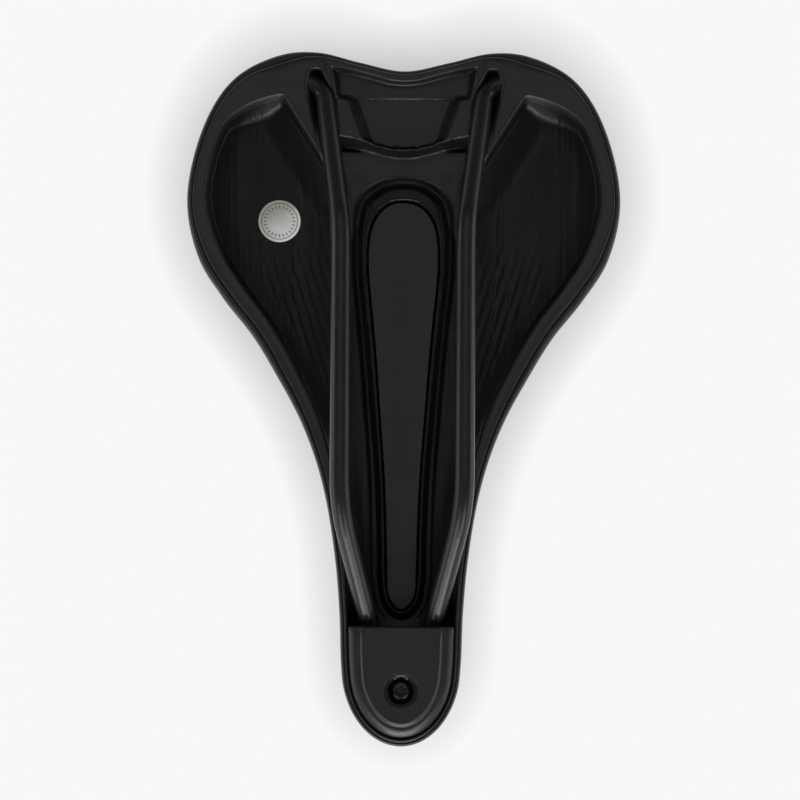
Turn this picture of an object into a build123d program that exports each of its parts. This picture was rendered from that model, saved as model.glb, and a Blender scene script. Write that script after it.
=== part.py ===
from build123d import *
import os
from math import atan, atan2, cos, degrees, hypot, radians, sin, tan

# A bicycle saddle: a moulded shell on a bent steel rail, a foam pad under a thin cover,
# and a screwed plate that holds the rail's hairpin end in the nose.
#
# Millimetres. +X points to the nose, +Y to the rider's left, +Z up to the seat side.
# The origin lies midway between the two rail axes, at the middle of their level stretch.

# ---- Rail: one round rod, bent like a hairpin ---------------------------------------
rail_d = 7.0
rail_spacing = 44.0
clamp_half = 40.0
rail_gap = 0.15
front_rise = 0.56
front_closing = 0.252
front_bend_r = 40.0
rear_rise = 0.70
rear_spread = 0.137
rear_bend_r = 25.0
hairpin_r = 8.5
hairpin_z = 24.6
knee_r = 20.0
rear_knee_x = -97.0
rear_knee_r = 8.0
rear_leg = (-3.4, 8.4, 0.8)

# ---- Plan of the saddle, half of it, as points on the cover's outer edge -------------
hub_x = -58.0
tail_points = [(-103.7, 0), (-106.8, 16), (-110.3, 31), (-109.4, 44), (-101.4, 60), (-86.3, 70.5)]
wing_points = [(hub_x, 77.3), (-36.4, 73.1), (-22.2, 64.4), (-8.0, 53.2), (6.3, 44.5)]
waist_points = [(20.5, 36.8), (34.7, 31.1), (49.0, 27.2), (70.3, 23.7)]
nose_x = 108.0
neck_x = 90.0
nose_half_width = 21.3
nose_length = 29.0

# ---- Side view: heights along the centre line, and of the rim's lower face -----------
crown_points = [(-116, 60), (-85, 57.5), (-58, 54.5), (0, 49.0), (60, 46.0), (108, 45.0), (144, 44.0)]
rim_points = [(-116, 32.5), (-100, 30.6), (-80, 28.6), (-58, 27), (0, 25), (60, 21), (100, 18.5), (144, 18)]
crown_sag = 0.0007
cover_side = 6.0
cover_lift_points = [(-116, 3.0), (-102, 3.0), (-82, 0.8), (-72, 0.8), (144, 0.8)]
cover_roll = (3.0, 6.0)
shell_roll = (3.6, 15.0)

# ---- Layers --------------------------------------------------------------------------
skin = 0.8
glue = 0.3
rim_gap = 0.2
pad_depth = 13.5
shell_wall = 2.6
rim_depth = 3.0
rebate = 5.2

# ---- Shell plan details: distances in from the cover's edge, by bearing round the hub --
shell_inset_points = [(0, 1.4), (31, 1.5), (41, 3.0), (54, 2.2), (90, 1.9), (107, 2.8), (133, 2.8),
                      (155, 2.2), (166, 1.6), (173, 1.4), (180, 1.4)]
rim_inset_points = [(60, 6.4), (75, 6.6), (90, 7.1), (106, 8.6), (120, 8.4), (133, 7.8), (145, 7.2),
                    (155, 6.2), (161.5, 4.8), (166, 3.9), (170, 3.1), (173, 2.5), (180, 2.8)]
wing_start_bearing = 68.0
wing_apex = (-94.7, 43.8)
wing_shoulder = (-90.6, 56.0)
spur_tip = (-71.0, 28.6)
spur_root = (-99.0, 34.6)
pocket_end = (-104.0, 33.2)
pocket_heel = (-104.4, 30.2)
crease_ends = [(-80.0, 45.0), (-53.0, 28.0)]
crease_drop = 7.5
facet_lap = 0.4
wall_heights = [-8.0, 0.5, 4.5, 8.0, 11.0, 14.0]
wall_insets = [0.0, 0.0, 0.8, 2.0, 3.8, 6.6]
wing_apex_draft = (1.0, 0.3)
wing_shoulder_draft = (0.9, -0.3)
wall_draft_points = [(0, 1), (148, 1), (164, 0.3), (170, 0), (180, 0)]

# ---- Rear bridge between the rail sockets --------------------------------------------
bridge_rear_x = -94.0
bridge_front_x = -75.6
bridge_half_width = 24.6
bridge_front_half = 12.0
bridge_foot = (-80.5, 24.0)
pocket_play = 0.6
bridge_lift = 1.5
tray_half_widths = (20.0, 14.6)
tray_depth = 3.2
tray_slope = 0.95
tray_margin = 0.9
tray_reach = 6.0
tray_lip = 2.6
tray_bow = 1.4
trough_corner_y = 25.6
trough_front_half = 23.8
trough_bow = (2.4, 12.0)
trough_depth = 5.4
trough_front_depth = 2.4
trough_run_in = 3.0
trough_lap = 1.0
lip_width = 4.2
corner_lip_width = 5.4

# ---- Pressure channel: slot, raised ring and lined insert ------------------------------
slot_points = [(-57.2, 0), (-56.1, 5.2), (-52.8, 9.2), (-46.5, 12.0), (-34.0, 13.0), (-18.0, 11.6),
               (0.0, 9.9), (20.0, 8.4), (42.0, 6.8), (64.0, 6.0), (79.0, 5.6), (86.4, 3.8), (89.0, 0)]
ring_rear_width = 5.6
ring_width = 1.5
ring_taper_share = 0.16
ring_height = 3.2
groove_width = 2.6
groove_depth = 1.1
land_points = [(-74.4, 24.0), (-61.0, 21.0), (-44.0, 18.5), (-29.0, 15.0), (-13.0, 12.2), (7.0, 9.8)]
land_height = 1.8
weld = 0.5
insert_slit = 0.7
slot_steps = 22
insert_recess = 1.0
dip_depth = 4.5
dip_margin = 3.0
dip_end_width = 5.0
dip_end_share = 0.25

# ---- Nose cover and its screw ----------------------------------------------------------
screw_x = 117.0
cover_mouth_x = 94.2
cover_gap = 0.6
plate_face_z = 15.6
plate_wall = 2.6
plate_lap = 0.6
plateau_step = 1.3
bead_width = 2.4
bead_fillet = 1.0
valley_depth = 1.9
plateau_inset = 4.6
mouth_depth = 4.0
mouth_half_width = 17.0
skirt_wall = 1.8
skirt_top_z = 24.0
tongue_steps = 8
screw_head_d = 7.3
screw_head_h = 2.4
screw_d = 4.0
screw_length = 9.5
screw_play = 0.15
screw_chamfer = 0.8
head_fillet = 0.8
pilot_play = 0.05
pilot_extra = 0.5
counterbore_d = 12.3
counterbore_depth = 1.0
head_well_d = 8.9
head_sink = 1.2
socket_d = 4.0
socket_w = 1.2
socket_depth = 1.4
boss_d = 9.4
boss_gap = 0.2

# ---- Small surface parts ---------------------------------------------------------------
label_d = 15.0
label_thickness = 0.2
label_centre = (-49.8, 44.4)
dial_d = 6.0
dial_depth = 0.3
dial_centre = (-65.6, 16.2)

# ---- Where the curved surfaces are pinned down: stations along X, shares of the half width ----
stations = [-115, -112, -109, -106, -102, -97, -91, -83, -73, -62, -49, -36, -23, -10, 6, 26, 48, 72, 92,
            105, 114, 121, 127, 132, 136, 140]
shares = [0, 0.16, 0.32, 0.46, 0.58, 0.69, 0.78, 0.85, 0.905, 0.95, 0.99, 1.03, 1.07]
line_steps = 36
deep = 120.0
grid_margin = 1.0
surface_tol = 0.05


def through(points):
    """A smooth function that passes through (position, value) points and is level at both ends."""
    places = [p[0] for p in points]
    values = [p[1] for p in points]
    slopes = [0.0]
    for before, after, a, b in zip(places, places[2:], values, values[2:]):
        slopes.append((b - a) / (after - before))
    slopes.append(0.0)

    def value(place):
        place = min(max(place, places[0]), places[-1])
        i = max(k for k in range(len(places) - 1) if places[k] <= place)
        span = places[i + 1] - places[i]
        t = (place - places[i]) / span
        rise = values[i + 1] - values[i]
        ease = t * t * (3 - 2 * t)
        lead = t * (1 - t) ** 2 * slopes[i] * span
        trail = t * t * (1 - t) * slopes[i + 1] * span
        return values[i] + rise * ease + lead - trail

    return value


def bearing(x, y):
    """Direction of a point seen from the hub: 0 straight back, 90 sideways, 180 to the nose."""
    return degrees(atan2(abs(y), hub_x - x))


crown = through(crown_points)
rim = through(rim_points)
cover_lift = through(cover_lift_points)
shell_inset = through(shell_inset_points)
rim_inset = through(rim_inset_points)
wall_draft = through(wall_draft_points)
tail_reach = through([(bearing(x, y), hypot(x - hub_x, y)) for x, y in tail_points + wing_points[:1]])
half_width = through(wing_points + waist_points + [(nose_x, nose_half_width)])


def outline_points():
    nose = []
    for turn in (18, 36, 54, 72, 90):
        ahead = nose_x + nose_length * sin(radians(turn))
        nose.append((ahead, nose_half_width * cos(radians(turn))))
    neck = [(neck_x, half_width(neck_x)), (nose_x, nose_half_width)]
    return tail_points + wing_points + waist_points + neck + nose


def loop(points):
    """The closed smooth curve through half outline points and their mirror images."""
    other_half = [(x, -y) for x, y in reversed(points[1:-1])]
    return Spline(points + other_half, periodic=True)


def halves(curve):
    return [curve.trim(0, 0.5), curve.trim(0.5, 1)]


def blob(points):
    """The flat face inside a loop."""
    return make_face(halves(loop(points)))


def arch(points):
    """The open smooth curve through points that end on the centre line, and their mirror images."""
    other_half = [(x, -y) for x, y in reversed(points[:-1])]
    return Spline(points + other_half)


outline = loop(outline_points())


def on_outline(share):
    """Point and direction at a share of the way from the rear to the nose, on the rider's left."""
    return outline.position_at(share / 2), outline.tangent_at(share / 2)


def moved_in(distance, start=0.0, steps=44):
    """Points along the left outline, moved in by distance(bearing), from a start share to the nose."""
    points = []
    for k in range(steps + 1):
        at, along = on_outline(start + (1 - start) * k / steps)
        amount = distance(bearing(at.X, at.Y))
        points.append((at.X + along.Y * amount, max(0.0, at.Y - along.X * amount)))
    points[-1] = (points[-1][0], 0)
    if start == 0:
        points[0] = (points[0][0], 0)
    return points


def first_share(is_past):
    """The first share of the left outline at which a test of its point holds."""
    share = 0.0
    while not is_past(on_outline(share)[0]):
        share += 0.002
    return share


def column(face):
    """Everything above and below a plan face."""
    return extrude(Pos(0, 0, -deep / 2) * face, amount=1.5 * deep, dir=(0, 0, 1))


def below(height):
    """Everything under a surface given by its height at x, y."""
    across = [-share for share in reversed(shares[1:])] + shares
    rows = []
    for x in stations:
        edge = half_width(min(max(x, hub_x), nose_x)) + grid_margin
        rows.append([(x, share * edge, height(x, share * edge)) for share in across])
    surface = Face.make_surface_from_array_of_points(rows, tol=surface_tol)
    return extrude(surface, amount=deep, dir=(0, 0, -1))


def above(line):
    """Everything over a line drawn in side view, at every y."""
    x0, x1 = stations[0], stations[-1]
    places = [x0 + (x1 - x0) * k / line_steps for k in range(line_steps + 1)]
    points = [(x, 0, line(x)) for x in places]
    top = [points[-1], (x1, 0, deep), (x0, 0, deep), points[0]]
    return extrude(make_face(Spline(points) + Polyline(top)), amount=deep, both=True)


def reach(x, y, inset):
    """Share of the way from the middle of the saddle to its edge, and the distance to that edge."""
    if x < hub_x:
        edge = tail_reach(bearing(x, y)) - inset
        return hypot(x - hub_x, y) / edge, edge
    edge = half_width(min(x, nose_x)) - inset
    ahead = max(0.0, x - nose_x) / (nose_length - inset)
    return hypot(y / edge, ahead), edge


def dome(x, y, top, base, roll, inset):
    """Height of a crowned surface that rolls over towards the edge."""
    share, edge = reach(x, y, inset)
    fullness = (edge - nose_half_width) / (wing_points[0][1] - nose_half_width)
    power = roll[0] + (roll[1] - roll[0]) * min(1.0, max(0.0, fullness))
    fall = 1 - share ** power if share < 1 else power * (1 - share)
    return base + (top - crown_sag * y * y - base) * fall


def cover_top(x, y):
    return dome(x, y, crown(x), rim(x) + cover_side, cover_roll, 0.0)


def shell_top(x, y):
    return dome(x, y, crown(x) - pad_depth, rim(x) + rim_depth, shell_roll, shell_inset(bearing(x, y)))


def deck(x, y):
    return shell_top(x, y) - shell_wall


def slab(plan, low, high):
    return extrude(Pos(0, 0, low) * plan, amount=high - low, dir=(0, 0, 1))


def peg(radius, low, high):
    """A round post or hole on the screw's axis."""
    return Pos(screw_x, 0, low) * Cylinder(radius, high - low, align=(Align.CENTER, Align.CENTER, Align.MIN))


# ---- The rail ------------------------------------------------------------------------------
def bend_setback(radius, slopes):
    """How far before its corner an arc of this radius leaves a level run."""
    return radius * tan(atan(hypot(*slopes)) / 2)


front_corner_x = clamp_half + bend_setback(front_bend_r, (front_rise, front_closing))
rear_corner_x = -clamp_half - bend_setback(rear_bend_r, (rear_rise, rear_spread))
rear_run = rear_corner_x - rear_knee_x
rear_knee = Vector(rear_knee_x, rail_spacing / 2 + rear_spread * rear_run, rear_rise * rear_run)


rail_under_z = hairpin_z - rail_d / 2
screw_seat_z = plate_face_z + head_sink + screw_head_h
plate_back_z = plate_face_z + plate_wall


def rail_side():
    """Centre line of the rider's left side, from its rear end to the start of the hairpin."""
    level_x = front_corner_x + hairpin_z / front_rise
    close_x = front_corner_x + (rail_spacing / 2 - hairpin_r) / front_closing
    points = [
        rear_knee + Vector(*rear_leg),
        rear_knee,
        (rear_corner_x, rail_spacing / 2, 0),
        (front_corner_x, rail_spacing / 2, 0),
        (level_x, rail_spacing / 2 - front_closing * (level_x - front_corner_x), hairpin_z),
        (close_x, hairpin_r, hairpin_z),
        (screw_x, hairpin_r, hairpin_z),
    ]
    return FilletPolyline(points, radius=[rear_knee_r, rear_bend_r, front_bend_r, knee_r, knee_r])


def rail_path():
    side = rail_side()
    hairpin = Pos(screw_x, 0, hairpin_z) * CenterArc((0, 0), hairpin_r, -90, 180)
    return Wire(side.edges() + [hairpin.edge()] + mirror(side, Plane.XZ).edges())


def rod(radius):
    path = rail_path()
    start = path.position_at(0)
    return sweep(Plane(origin=start, z_dir=path.tangent_at(0)) * Circle(radius), path)


def make_rail():
    return rod(rail_d / 2)


# ---- The shell ------------------------------------------------------------------------------
def shell_outline(grow=0.0):
    return blob(moved_in(lambda b: shell_inset(b) - grow))


def cavity_outline(inset):
    """Plan of the open underside at one level of its sloping wall, with a rail pocket beside each spur."""
    start = first_share(lambda at: bearing(at.X, at.Y) > wing_start_bearing)
    side = moved_in(lambda b: rim_inset(b) + inset * wall_draft(b), start=start)
    apex = Vector(*wing_apex) + inset * Vector(*wing_apex_draft)
    shoulder = Vector(*wing_shoulder) + inset * Vector(*wing_shoulder_draft)
    pocket_side = (bridge_rear_x, bridge_half_width + pocket_play)
    bridge_front = (bridge_front_x, bridge_front_half)
    corner = ThreePointArc(side[0], shoulder, apex)
    rear = corner + Polyline(apex, spur_tip, spur_root, pocket_end, pocket_heel, pocket_side,
                             bridge_foot, bridge_front)
    front_line = Line(bridge_front, (bridge_front[0], -bridge_front[1]))
    edges = halves(arch(side)) + rear.edges() + mirror(rear, Plane.XZ).edges() + [front_line]
    return make_face(edges)


def cavity_mould():
    """The hollow under the shell, which narrows upwards between sloping walls."""
    first, last = rim_points[0], rim_points[-1]
    fall = (last[1] - first[1]) / (last[0] - first[0])
    levels = []
    for height, inset in zip(wall_heights, wall_insets):
        start_z = first[1] + fall * (0 - first[0]) + height
        tilted = Plane(origin=(0, 0, start_z), x_dir=(1, 0, fall), z_dir=(-fall, 0, 1))
        levels.append(tilted * cavity_outline(inset))
    return loft(levels, ruled=True)


def slot_column(margin, rear_margin):
    """The slot's plan, moved outwards by a margin that may be wider at its rear, as a column."""
    curve = loop(slot_points)
    rear, front = slot_points[0][0], slot_points[-1][0]
    taper_length = ring_taper_share * (front - rear)
    moved = []
    for k in range(slot_steps + 1):
        at = curve.position_at(0.5 * k / slot_steps)
        along = curve.tangent_at(0.5 * k / slot_steps)
        share = max(0.0, 1 - (at.X - rear) / taper_length)
        out = margin + (rear_margin - margin) * share * share
        moved.append((at.X - along.Y * out, max(0.0, at.Y + along.X * out)))
    moved[0] = (moved[0][0], 0)
    moved[-1] = (moved[-1][0], 0)
    return column(blob(moved))


def wing_facet():
    """The sloping face between the bowl and the spur, on the rider's left."""
    (x1, y1), (x2, y2) = crease_ends
    foot_x, foot_y = (wing_apex[0] + spur_tip[0]) / 2, (wing_apex[1] + spur_tip[1]) / 2
    plane = Plane(
        origin=(x1, y1, deck(x1, y1)),
        x_dir=(x2 - x1, y2 - y1, deck(x2, y2) - deck(x1, y1)),
        z_dir=(Vector(x2 - x1, y2 - y1, deck(x2, y2) - deck(x1, y1)).cross(
            Vector(foot_x - x1, foot_y - y1, -crease_drop))) * -1,
    )
    if plane.z_dir.Z > 0:
        plane = -plane
    plan = make_face(Polyline(wing_apex, crease_ends[0], crease_ends[1], spur_tip, close=True))
    block = column(offset(plan, facet_lap, kind=Kind.INTERSECTION))
    keep = plane * Pos(0, 0, -deep / 2) * Box(2 * deep, 2 * deep, deep)
    return block & keep


def trough():
    """The hollow between the rear lip and the bridge."""
    rear_x = tail_points[0][0] + lip_width
    corner = (tail_points[2][0] + corner_lip_width, trough_corner_y)
    front = (bridge_rear_x, trough_front_half)
    side = Line(corner, front)
    lip_edge = arch([corner, (rear_x - trough_bow[0], trough_bow[1]), (rear_x, 0)])
    front_line = Line(front, (front[0], -front[1]))
    plan = make_face(halves(lip_edge) + [side, mirror(side, Plane.XZ).edge(), front_line])
    top_z = rim(rear_x)
    first = (corner[0] - trough_run_in, 0, top_z)
    middle = ((rear_x + bridge_rear_x) / 2 - trough_lap, 0, top_z + trough_depth)
    last = (bridge_rear_x + trough_lap, 0, top_z + trough_front_depth)
    roof = ThreePointArc(first, middle, last)
    hollow = make_face(roof + Polyline(last, (last[0], 0, 0), (first[0], 0, 0), first))
    return column(plan) & extrude(hollow, amount=deep, both=True)


def bridge_tray():
    """The shallow tray in the bridge's lower face, with sloping ends and a front lip."""
    face_z = rim(bridge_front_x) + bridge_lift
    rear_x, front_x = bridge_rear_x + tray_margin, bridge_front_x - tray_lip
    levels = []
    for depth in (-tray_reach, tray_depth):
        run = depth * tray_slope
        rear, front = [half - run for half in tray_half_widths]
        bow = ThreePointArc((front_x - run, front), (front_x + tray_bow - run, 0), (front_x - run, -front))
        sides = Polyline((front_x - run, -front), (rear_x, -rear), (rear_x, rear), (front_x - run, front))
        levels.append(Pos(0, 0, face_z + depth) * make_face(bow + sides))
    return loft(levels, ruled=True)


def bridge_relief():
    """What brings the bridge's lower face above the rim's."""
    half = bridge_half_width + pocket_play
    plan = Rectangle(bridge_front_x - bridge_rear_x, 2 * half, align=(Align.MIN, Align.CENTER))
    block = column(Pos(bridge_rear_x, 0) * plan)
    return block - above(lambda x: rim(x) + bridge_lift)


def land():
    """The raised face between the bridge and the channel, which runs out along the channel's sides."""
    side = Spline(land_points)
    other = mirror(side, Plane.XZ).edge()
    (x0, y0), (x1, y1) = land_points[0], land_points[-1]
    plan = make_face([side, other, Line((x0, y0), (x0, -y0)), Line((x1, y1), (x1, -y1))])
    return (column(plan) & shifted(below_deck, weld)) - shifted(below_deck, -land_height)


def shifted(block, rise):
    return Pos(0, 0, rise) * block


def boss():
    """The post inside the hairpin that the screw cuts its thread in."""
    foot_z = rail_under_z + boss_gap
    return peg(boss_d / 2, foot_z, deep) & below_shell


def pilot_hole():
    tip_z = screw_seat_z + screw_length
    radius = screw_d / 2 + pilot_play
    return peg(radius, 0, tip_z + pilot_extra)


def dials():
    x, y = dial_centre
    disc = Pos(x, y, 0) * Cylinder(dial_d / 2, deep, align=(Align.CENTER, Align.CENTER, Align.MIN))
    return (disc + mirror(disc, Plane.XZ)) & shifted(below_deck, dial_depth)


def make_shell():
    shell = column(shell_outline()) & below_shell & above(rim)
    cavity = cavity_mould() & below_deck
    facet = wing_facet()
    cavity -= facet + mirror(facet, Plane.XZ)
    shell -= cavity
    shell += land()
    shell -= trough()
    shell -= bridge_relief()
    shell -= bridge_tray()
    groove = slot_column(ring_width + groove_width, ring_rear_width + groove_width)
    shell -= groove & shifted(below_deck, groove_depth)
    ring = slot_column(ring_width, ring_rear_width) & shifted(below_deck, groove_depth + weld)
    shell += ring - shifted(below_deck, -ring_height)
    shell -= slot_column(0, 0)
    shell += boss()
    shell -= dials()
    shell -= pilot_hole()
    shell -= rod(rail_d / 2 + rail_gap)
    return shell


def make_channel_insert():
    insert = slot_column(-insert_slit, -insert_slit) & below_shell
    return insert - shifted(below_deck, insert_recess - ring_height)


# ---- Pad and cover ------------------------------------------------------------------------------
def cover_rim(x):
    return rim(x) + cover_lift(x)


def relief(extra):
    """The long hollow pressed into the top of the pad, as a tool that can be made larger all round."""
    rear, front = slot_points[0][0], slot_points[-1][0]
    width = through([(x, max(y, dip_end_width)) for x, y in slot_points])
    sections = []
    for share in (0, 0.12, 0.3, 0.55, 0.8, 0.94, 1):
        x = rear + (front - rear) * share
        full = max(dip_end_share, (1 - abs(2 * share - 1) ** 4) ** 0.5)
        oval = Ellipse(full * (width(x) + dip_margin) + extra, full * dip_depth + extra)
        sections.append(Plane(origin=(x, 0, crown(x)), x_dir=(0, 1, 0), z_dir=(1, 0, 0)) * oval)
    return loft(sections)


def inner_column(inset):
    return column(blob(moved_in(lambda b: inset)))


def make_cover():
    outside = column(blob(outline_points())) & below_top & above(cover_rim)
    inside = inner_column(skin) & shifted(below_top, -skin) & above(lambda x: cover_rim(x) + skin)
    opening = column(shell_outline(rim_gap)) - above(lambda x: rim(x) + rebate)
    return (outside - relief(0)) - (inside - relief(skin)) - opening


def make_padding():
    gap = skin + glue
    pad = inner_column(gap) & shifted(below_top, -gap) & above(lambda x: cover_rim(x) + gap)
    return pad - relief(gap) - shifted(below_shell, glue)


# ---- Nose cover and screw ---------------------------------------------------------------------------
def tongue(inset):
    """Plan of the nose cover, moved in by an amount on its sides, front and mouth."""
    mouth_x = cover_mouth_x + inset
    start = first_share(lambda at: at.X > mouth_x)
    side = moved_in(lambda b: rim_inset(b) + cover_gap + inset, start=start, steps=tongue_steps)
    side[0] = (mouth_x, side[0][1])
    return make_face(arch(side) + Line(side[0], (mouth_x, -side[0][1])))


def make_nose_cover():
    """A shallow cap: a beaded plate with a raised middle, and a skirt that is open at the rear."""
    cap = slab(tongue(0), plate_face_z + plateau_step, skirt_top_z)
    cap = fillet(cap.faces().sort_by(Axis.Z)[0].edges(), bead_fillet)
    cap &= under_rim_wall()
    cap -= slab(tongue(skirt_wall), plate_back_z, deep)
    cap -= Pos(cover_mouth_x, 0, plate_back_z) * Box(2 * mouth_depth, 2 * mouth_half_width, deep,
                                                     align=(Align.CENTER, Align.CENTER, Align.MIN))
    cap += slab(tongue(plateau_inset), plate_face_z, plate_back_z - plate_lap)
    valley = slab(tongue(bead_width), 0, plate_face_z + valley_depth) - slab(tongue(plateau_inset), 0, deep)
    cap -= valley
    cap += peg(hairpin_r + rail_d / 2, plate_back_z - plate_lap, rail_under_z)
    cap -= peg(counterbore_d / 2, 0, plate_face_z + counterbore_depth)
    cap -= peg(head_well_d / 2, 0, screw_seat_z)
    cap -= peg(screw_d / 2 + screw_play, 0, deep)
    return cap - rod(rail_d / 2 + rail_gap)


def under_rim_wall():
    """The nose cavity, less a little play, where the nose cover's skirt may stand."""
    return shifted(below_deck, -cover_gap)


def make_nose_screw():
    head = peg(screw_head_d / 2, screw_seat_z - screw_head_h, screw_seat_z)
    head = fillet(head.faces().sort_by(Axis.Z)[0].edges(), head_fillet)
    shank = peg(screw_d / 2, screw_seat_z, screw_seat_z + screw_length)
    shank = chamfer(shank.faces().sort_by(Axis.Z)[-1].edges(), screw_chamfer)
    slots = Rectangle(socket_d, socket_w) + Rectangle(socket_w, socket_d)
    cross = extrude(Pos(screw_x, 0, 0) * slots, amount=screw_seat_z - screw_head_h + socket_depth)
    return head + shank - cross


def make_label():
    disc = Pos(*label_centre, 0) * Cylinder(label_d / 2, deep, align=(Align.CENTER, Align.CENTER, Align.MIN))
    return (disc & below_deck) - shifted(below_deck, -label_thickness)


below_shell = below(shell_top)
below_deck = shifted(below_shell, -shell_wall)
below_top = below(cover_top)

pieces = {
    "shell": make_shell,
    "rail": make_rail,
    "nose_cover": make_nose_cover,
    "nose_screw": make_nose_screw,
    "channel_insert": make_channel_insert,
    "padding": make_padding,
    "cover": make_cover,
    "label": make_label,
}

if __name__ == "__main__":
    os.makedirs("parts", exist_ok=True)
    for name, make in pieces.items():
        piece = make()
        export_step(piece, f"parts/{name}.step")
        print(name, round(piece.volume / 1000, 2), "cm3")
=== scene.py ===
from math import cos, pi, radians, sin

import bmesh
import bpy
import numpy as np
from mathutils import Matrix, Vector


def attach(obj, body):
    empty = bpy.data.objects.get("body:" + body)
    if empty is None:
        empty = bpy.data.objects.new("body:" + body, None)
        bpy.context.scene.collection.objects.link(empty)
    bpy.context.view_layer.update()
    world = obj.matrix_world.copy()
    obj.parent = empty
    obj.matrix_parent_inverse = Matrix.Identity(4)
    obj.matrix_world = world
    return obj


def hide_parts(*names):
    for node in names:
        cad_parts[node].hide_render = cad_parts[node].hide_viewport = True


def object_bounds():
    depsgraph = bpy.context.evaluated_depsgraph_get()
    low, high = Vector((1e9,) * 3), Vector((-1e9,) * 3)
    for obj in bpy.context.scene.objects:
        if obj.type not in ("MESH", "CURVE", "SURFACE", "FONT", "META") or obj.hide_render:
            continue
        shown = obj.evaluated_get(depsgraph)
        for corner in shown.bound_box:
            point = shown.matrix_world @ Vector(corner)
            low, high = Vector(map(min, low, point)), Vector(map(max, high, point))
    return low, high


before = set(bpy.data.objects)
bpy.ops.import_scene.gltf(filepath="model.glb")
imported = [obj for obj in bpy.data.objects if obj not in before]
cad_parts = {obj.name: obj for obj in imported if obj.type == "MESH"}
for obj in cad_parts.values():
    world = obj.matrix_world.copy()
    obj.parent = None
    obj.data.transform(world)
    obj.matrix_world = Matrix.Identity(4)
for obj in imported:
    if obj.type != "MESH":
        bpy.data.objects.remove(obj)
cad_box = [list(corner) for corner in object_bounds()]

MM = 0.001
label_x, label_y, label_ticks = -49.8, 44.4, 24


# ---- Materials: small tools -------------------------------------------------------------------
class Wire:
    """A node socket that can be written in sums."""

    def __init__(self, paint, socket):
        self.paint = paint
        self.socket = socket

    def math(self, operation, *others):
        values = dict(enumerate((self, *others)))
        return self.paint.node("ShaderNodeMath", {"operation": operation}, values)

    def __add__(self, other):
        return self.math("ADD", other)

    __radd__ = __add__

    def __mul__(self, other):
        return self.math("MULTIPLY", other)

    __rmul__ = __mul__

    def __sub__(self, other):
        return self.math("SUBTRACT", other)

    def __rsub__(self, other):
        return self.paint.node("ShaderNodeMath", {"operation": "SUBTRACT"}, {0: other, 1: self})

    def __pow__(self, other):
        return self.math("POWER", other)

    def smooth(self, low, high):
        """0 below low, 1 above high, an even slope between."""
        return self.paint.node("ShaderNodeMapRange", {"interpolation_type": "SMOOTHSTEP"},
                               {"Value": self, "From Min": low, "From Max": high})


class Paint:
    """One material's node tree."""

    def __init__(self, name):
        self.material = bpy.data.materials.new(name)
        self.material.use_nodes = True
        self.tree = self.material.node_tree
        self.tree.nodes.clear()

    def node(self, kind, settings=None, inputs=None, output=0):
        """A node of this kind, with its settings, and the values or links of its sockets."""
        made = self.tree.nodes.new(kind)
        for key, value in (settings or {}).items():
            setattr(made, key, value)
        for key, value in (inputs or {}).items():
            if isinstance(value, Wire):
                self.tree.links.new(value.socket, made.inputs[key])
            else:
                made.inputs[key].default_value = value
        return Wire(self, made.outputs[output])

    def place(self):
        return self.node("ShaderNodeTexCoord", output="Object")

    def xyz(self):
        split = self.node("ShaderNodeSeparateXYZ", inputs={0: self.place()}).socket.node
        return [Wire(self, split.outputs[n]) for n in range(3)]

    def noise(self, scale, detail=2.0, stretch=(1, 1, 1)):
        at = self.node("ShaderNodeVectorMath", {"operation": "MULTIPLY"}, {0: self.place(), 1: stretch})
        return self.node("ShaderNodeTexNoise", inputs={"Vector": at, "Scale": scale, "Detail": detail})

    def mix(self, share, low, high):
        """A colour part of the way from low to high, which are each a colour or a socket."""
        low, high = [(*colour, 1) if isinstance(colour, tuple) else colour for colour in (low, high)]
        return self.node("ShaderNodeMix", {"data_type": "RGBA"}, {0: share, 6: low, 7: high}, output=2)

    def bump(self, height, depth):
        return self.node("ShaderNodeBump", inputs={"Height": height, "Distance": depth, "Strength": 1.0})

    def finish(self, colour, roughness, normal, **levels):
        """The finished material. Levels name more of the shader's sockets, such as Metallic."""
        inputs = {"Base Color": colour, "Roughness": roughness, "Normal": normal}
        inputs.update({key.replace("_", " "): value for key, value in levels.items()})
        self.output(self.node("ShaderNodeBsdfPrincipled", inputs=inputs))
        return self.material

    def output(self, shader):
        end = self.tree.nodes.new("ShaderNodeOutputMaterial")
        self.tree.links.new(shader.socket, end.inputs["Surface"])


# ---- Materials ------------------------------------------------------------------------------------
def satin_plastic():
    """Nylon with a fine spark-eroded skin."""
    paint = Paint("satin_plastic")
    tone = paint.noise(60, 3)
    colour = paint.mix(tone, (0.009, 0.009, 0.0095), (0.014, 0.014, 0.0145))
    pits = paint.bump(paint.noise(1400, 2), 0.00003)
    return paint.finish(colour, 0.36 + tone * 0.08, pits, Specular_IOR_Level=0.45)


def polished_and_shaded_plastic():
    """The same nylon where the mould is polished, with fine drawn lines along the saddle, and a darker colour
    that paints shade into the hollows it is given to.
    """
    paint = Paint("polished_and_shaded_plastic")
    tone = paint.noise(60, 3)
    drawn = paint.noise(260, 3, (0.02, 1, 0.3))
    # Painted shade: a darker black than the satin nylon, so the faces given this finish read shaded.
    colour = paint.mix(tone, (0.004, 0.004, 0.0043), (0.007, 0.007, 0.0073))
    return paint.finish(colour, 0.20 + drawn * 0.28, paint.bump(drawn, 0.0005), Specular_IOR_Level=0.22)


def black_paint():
    """Baked powder paint on the rod: a fine pebbled skin with a soft sheen."""
    paint = Paint("black_paint")
    tone = paint.noise(120, 2)
    colour = paint.mix(tone, (0.009, 0.009, 0.0095), (0.013, 0.013, 0.0135))
    pebbles = paint.bump(paint.noise(900, 2), 0.00003)
    return paint.finish(colour, 0.30 + tone * 0.08, pebbles, Specular_IOR_Level=0.36)


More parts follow.
